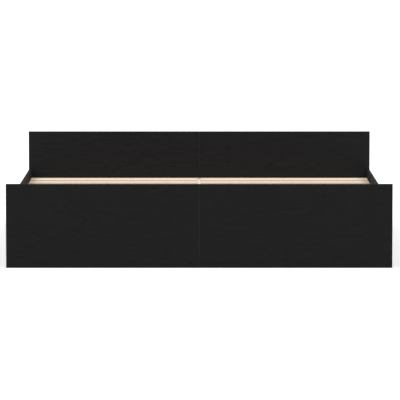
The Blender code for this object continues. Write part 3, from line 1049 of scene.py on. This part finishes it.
def drawer_sides(drawer):
    """A drawer's two side boards, each with the way out of the drawer along Y."""
    boards = (f"{drawer}_side_a", f"{drawer}_side_b")
    inside = middle(f"{drawer}_back").y
    return [(board, 1 if middle(board).y > inside else -1) for board in boards]


class BED_OT_drive_drawer_screws(bpy.types.Operator):
    """Drives the screws through the drawers' sides into their backs"""

    bl_idname = "bed.drive_drawer_screws"
    bl_label = "Drive drawer screws"

    def execute(self, context):
        for seed, drawer in enumerate(DRAWERS, 20):
            back_x = middle(f"{drawer}_back").x
            sites = []
            for board, way in drawer_sides(drawer):
                face = corner(board, way).y + way * PROUD
                sites += [((back_x, face, z), Y * way, X) for z in BACK_SCREW_HEIGHTS]
            drive_screws(f"{drawer}_screws", drawer, sites, seed)
        return {"FINISHED"}


def bracket_places():
    """(place, way along X, way along Y) of the brackets between boards."""
    found = []
    for end, way in (("footboard_left", 1), ("headboard_left", -1)):
        face = corner(end, way).y
        for ledge, side in (("slat_ledge_left", 1), ("slat_ledge_right", -1)):
            found.append((corner(ledge, side).x, face, middle(ledge).z, side, way))
        for side in (1, -1):
            edge = corner("centre_board", side).x
            found += [(edge, face, height, side, way) for height in BRACKET_HEIGHTS]
    for side in (1, -1):
        for way in (1, -1):
            edge, face = corner("centre_board", side).x, corner("cross_partition", way).y
            found.append((edge, face, BRACKET_HEIGHTS[1], side, way))
    return [(Vector(numbers[:3]), *numbers[3:]) for numbers in found]


def corner_site(place, side, way):
    """A site for a fitting in an inner corner. Its legs are modelled along +X and +Y."""
    across = X * side if side * way > 0 else Y * way
    return place + Vector((side, way, 0)) * SEAT, Z, across


class BED_OT_fit_brackets(bpy.types.Operator):
    """Fits the bent steel brackets where boards meet, and their screws"""

    bl_idname = "bed.fit_brackets"
    bl_label = "Fit brackets"

    def execute(self, context):
        settings = context.scene.bed_fittings
        leg, sheet = settings.bracket_leg, settings.sheet
        bend, half = sheet * 2.2, settings.bracket_width / 2
        outline = [(0, 0), (leg, 0), (leg, sheet), (bend, sheet)]
        outline += [(sheet, bend), (sheet, leg), (0, leg)]
        rounding = sheet * 0.15
        bracket = prism_mesh("bracket", outline, -half, half, rounding, segments=1)
        places = bracket_places()
        sites = [corner_site(*place) for place in places]
        zinc = zinc_material(settings)
        set_fittings("corner_brackets", FRAME_BODY, bracket, sites, zinc)

        lift, reach = sheet + SEAT + 0.05 * MM, leg * 0.66
        screws = []
        for place, side, way in places:
            screws.append((place + Vector((side * reach, way * lift, 0)), Y * way, X))
            screws.append((place + Vector((side * lift, way * reach, 0)), X * side, Y))
        drive_screws("bracket_screws", FRAME_BODY, screws, seed=31)
        return {"FINISHED"}


class BED_OT_fit_caps(bpy.types.Operator):
    """Fits the cover caps over the cam fittings in the side rails"""

    bl_idname = "bed.fit_caps"
    bl_label = "Fit caps"

    def execute(self, context):
        radius = context.scene.bed_fittings.cap / 2 / MM
        profile = [(0, -1), (radius * 0.8, -1), (radius, 0.1), (radius * 0.94, 0.9)]
        profile += [(radius * 0.6, 1.25), (radius * 0.3, 1.2), (0, 1.2)]
        form = bmesh.new()
        turn_profile(form, profile, steps=32)
        sites = []
        from_end, from_top = CAP_INSETS
        for rail, way in (("side_rail_left", 1), ("side_rail_right", -1)):
            low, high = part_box(rail)
            for y in (low.y + from_end, high.y - from_end):
                sites.append(((corner(rail, way).x, y, high.z - from_top), X * way, Y))
        shade = linear("#1c1c1c")
        black = moulded_material("black_polyethylene", shade, roughness=0.5, grit=0.4 * MM)
        set_fittings("cam_cover_caps", FRAME_BODY, mesh_from(form, "cover_cap"), sites, black)
        return {"FINISHED"}


class BED_OT_fit_tongues(bpy.types.Operator):
    """Fits the loose tongues that line up the halves of the headboard and of the footboard"""

    bl_idname = "bed.fit_tongues"
    bl_label = "Fit tongues"

    def execute(self, context):
        form = bmesh.new()
        inset, play = 6 * MM, 0.002 * MM
        for end in ("headboard", "footboard"):
            low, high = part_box(f"{end}_left")
            seam = corner(f"{end}_right", -1).x
            size = Vector((seam - high.x - play, high.y - low.y - inset, high.z - low.z - inset))
            place = middle(f"{end}_left")
            place.x = (high.x + seam) / 2
            matrix = Matrix.LocRotScale(place, None, size)
            strip = bmesh.ops.create_cube(form, size=1.0, matrix=matrix)
            edges = list({edge for vert in strip["verts"] for edge in vert.link_edges})
            bmesh.ops.bevel(form, geom=edges, offset=size.x * 0.2, segments=2, affect="EDGES")
        shade = linear("#141414")
        black = moulded_material("black_abs_strip", shade, roughness=0.6, grit=0.5 * MM)
        new_piece("seam_tongues", mesh_from(form, "seam_tongues", black), FRAME_BODY)
        return {"FINISHED"}


class BED_OT_fit_corner_blocks(bpy.types.Operator):
    """Fits the moulded blocks in the front corners of each drawer, and their screws"""

    bl_idname = "bed.fit_corner_blocks"
    bl_label = "Fit corner blocks"

    def execute(self, context):
        settings = context.scene.bed_fittings
        size, tall = settings.block, settings.block_height
        lip, to_slant = size * 0.35, size * 0.955
        outline = [(0, 0), (size, 0), (size, lip), (lip, size), (0, size)]
        block = prism_mesh("block", outline, 0, tall, rounding=1.2 * MM, segments=2)
        shade = linear("#1e1e1f")
        black = moulded_material("black_polypropylene", shade, roughness=0.48, grit=0.4 * MM)
        for seed, drawer in enumerate(DRAWERS, 40):
            side = -1 if "right" in drawer else 1
            front = corner(f"{drawer}_front", side).x
            sites, screws = [], []
            for board, outward in drawer_sides(drawer):
                way = -outward
                slope = Vector((side, way, 0)).normalized()
                for height in BLOCK_HEIGHTS:
                    inner = Vector((front, corner(board, way).y, height))
                    sites.append(corner_site(inner, side, way))
                    face = sites[-1][0] + slope * to_slant + Z * (tall / 2)
                    screws.append((face, slope, Z))
            set_fittings(f"{drawer}_corner_blocks", drawer, block, sites, black)
            drive_screws(f"{drawer}_block_screws", drawer, screws, seed)
        return {"FINISHED"}


def wheel_mesh(settings):
    """A moulded wheel round the Y axis. The drawer's side is at y = 0, and the stub runs to -Y."""
    form = bmesh.new()
    turn_profile(form, WHEEL_BODY, WHEEL_STEPS)
    place, size = (Vector(numbers) * MM for numbers in WHEEL_RIB)
    for number in range(settings.ribs):
        turn = Matrix.Rotation(math.tau * (number + 0.5) / settings.ribs, 4, "Z")
        rib = Matrix.LocRotScale(place, None, size)
        bmesh.ops.create_cube(form, size=1.0, matrix=turn @ rib)
    for face in form.faces:
        face.material_index = 1
    turn_profile(form, WHEEL_TREAD, WHEEL_STEPS, closed=True)
    upright = Matrix.Rotation(-math.pi / 2, 3, "X")
    bmesh.ops.rotate(form, cent=(0, 0, 0), matrix=upright, verts=form.verts)
    tread = moulded_material("soft_tread", settings.tread, roughness=0.7, grit=0.5 * MM)
    hub = moulded_material("wheel_polypropylene", settings.hub, roughness=0.42, grit=0.4 * MM)
    return mesh_from(form, "wheel", tread, hub)


class BED_OT_fit_wheels(bpy.types.Operator):
    """Fits the drawers' wheels with their treads and ribs"""

    bl_idname = "bed.fit_wheels"
    bl_label = "Fit wheels"

    def execute(self, context):
        shape = wheel_mesh(context.scene.bed_wheels)
        for joint in frame["joints"]:
            if joint["type"] != "hinge":
                continue
            node, axle = joint["child"], Vector(joint["pos_m"])
            inside = middle(f"{joint['parent']}_back").y
            turn = Matrix.Rotation(0 if axle.y < inside else math.pi, 4, "Z")
            mesh = shape.copy()
            mesh.transform(Matrix.Translation(axle) @ turn)
            wheel = new_piece(f"{node}_moulded", mesh, node)
            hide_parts(node)
        bpy.data.meshes.remove(shape)
        return {"FINISHED"}


class BED_OT_set_stage(bpy.types.Operator):
    """Sets the floor, the light and the camera"""

    bl_idname = "bed.set_stage"
    bl_label = "Set stage"

    def execute(self, context):
        scene, settings = context.scene, context.scene.bed_stage
        form = bmesh.new()
        bmesh.ops.create_grid(form, x_segments=1, y_segments=1, size=FLOOR_REACH)
        bmesh.ops.translate(form, vec=-Z * FLOOR_DROP, verts=form.verts)
        material, tree = new_material("pale_floor")
        shader = add(
            tree,
            SHADER,
            {
                "Base Color": tinted(settings.floor),
                "Roughness": 0.9,
                "Specular IOR Level": 0.1,
                "Emission Color": (1, 1, 1, 1),
                "Emission Strength": settings.glow,
            },
        )
        add(tree, SURFACE, {"Surface": shader})
        new_piece("floor", mesh_from(form, "floor", material))

        scene.world = bpy.data.worlds.new("studio")
        scene.world.use_nodes = True
        tree = scene.world.node_tree
        tree.nodes.clear()
        seen = add(tree, "ShaderNodeLightPath").outputs["Is Camera Ray"]
        light = add(tree, MATHS, (seen, 1.0 - settings.sky, settings.sky), operation="MULTIPLY_ADD")
        sky = add(tree, "ShaderNodeBackground", {"Color": (1, 1, 1, 1), "Strength": light})
        add(tree, "ShaderNodeOutputWorld", {"Surface": sky})

        for name, mirror in (("key_left", 1), ("key_right", -1)):
            lamp = bpy.data.lights.new(name, "SUN")
            lamp.energy = settings.key
            lamp.angle = settings.key_spread
            key = bpy.data.objects.new(name, lamp)
            across, ahead, down = settings.key_way
            way = Vector((across * mirror, ahead, down))
            key.rotation_euler = way.to_track_quat("-Z", "Y").to_euler()
            scene.collection.objects.link(key)

        lens = bpy.data.cameras.new("camera")
        lens.sensor_width = SENSOR_WIDTH
        lens.lens = settings.lens
        lens.clip_start, lens.clip_end = NEAREST_SEEN, FARTHEST_SEEN
        camera = bpy.data.objects.new("camera", lens)
        camera.location = (0, CAD_BOX[0].y - settings.distance, settings.height)
        camera.rotation_euler = Euler((math.pi / 2 - settings.tilt, 0, -settings.turn))
        scene.collection.objects.link(camera)
        scene.camera = camera
        scene.view_settings.view_transform = "Standard"
        return {"FINISHED"}


class BED_PT_parts(bpy.types.Panel):
    """Lists the steps and the settings of the bed"""

    bl_idname = "BED_PT_parts"
    bl_label = "Platform Bed"
    bl_space_type = "VIEW_3D"
    bl_region_type = "UI"
    bl_category = "Bed"

    def draw(self, context):
        layout = self.layout
        for step in STEPS:
            layout.operator(step.bl_idname)
        for name, group in SETTINGS.items():
            box = layout.box()
            box.label(text=group.__doc__.strip("."))
            for label in group.__annotations__:
                box.prop(getattr(context.scene, name), label)


SETTINGS = {
    "bed_boards": BedBoardSettings,
    "bed_slats": BedSlatSettings,
    "bed_tapes": BedTapeSettings,
    "bed_fittings": BedFittingSettings,
    "bed_wheels": BedWheelSettings,
    "bed_stage": BedStageSettings,
}
STEPS = (
    BED_OT_set_stage,
    BED_OT_dress_boards,
    BED_OT_lay_slats,
    BED_OT_lay_tapes,
    BED_OT_drive_staples,
    BED_OT_drive_frame_screws,
    BED_OT_drive_drawer_screws,
    BED_OT_fit_brackets,
    BED_OT_fit_caps,
    BED_OT_fit_tongues,
    BED_OT_fit_corner_blocks,
    BED_OT_fit_wheels,
)


def register():
    for kind in (*SETTINGS.values(), *STEPS, BED_PT_parts):
        bpy.utils.register_class(kind)
    for name, group in SETTINGS.items():
        setattr(bpy.types.Scene, name, PointerProperty(type=group))


def unregister():
    for name in SETTINGS:
        delattr(bpy.types.Scene, name)
    for kind in reversed((*SETTINGS.values(), *STEPS, BED_PT_parts)):
        bpy.utils.unregister_class(kind)


def plain(box):
    """A box's corners as plain lists of numbers."""
    return [[float(value) for value in point] for point in box]


def main():
    register()
    for step in STEPS:
        family, action = step.bl_idname.split(".")
        getattr(getattr(bpy.ops, family), action)()


if __name__ == "__main__":
    main()
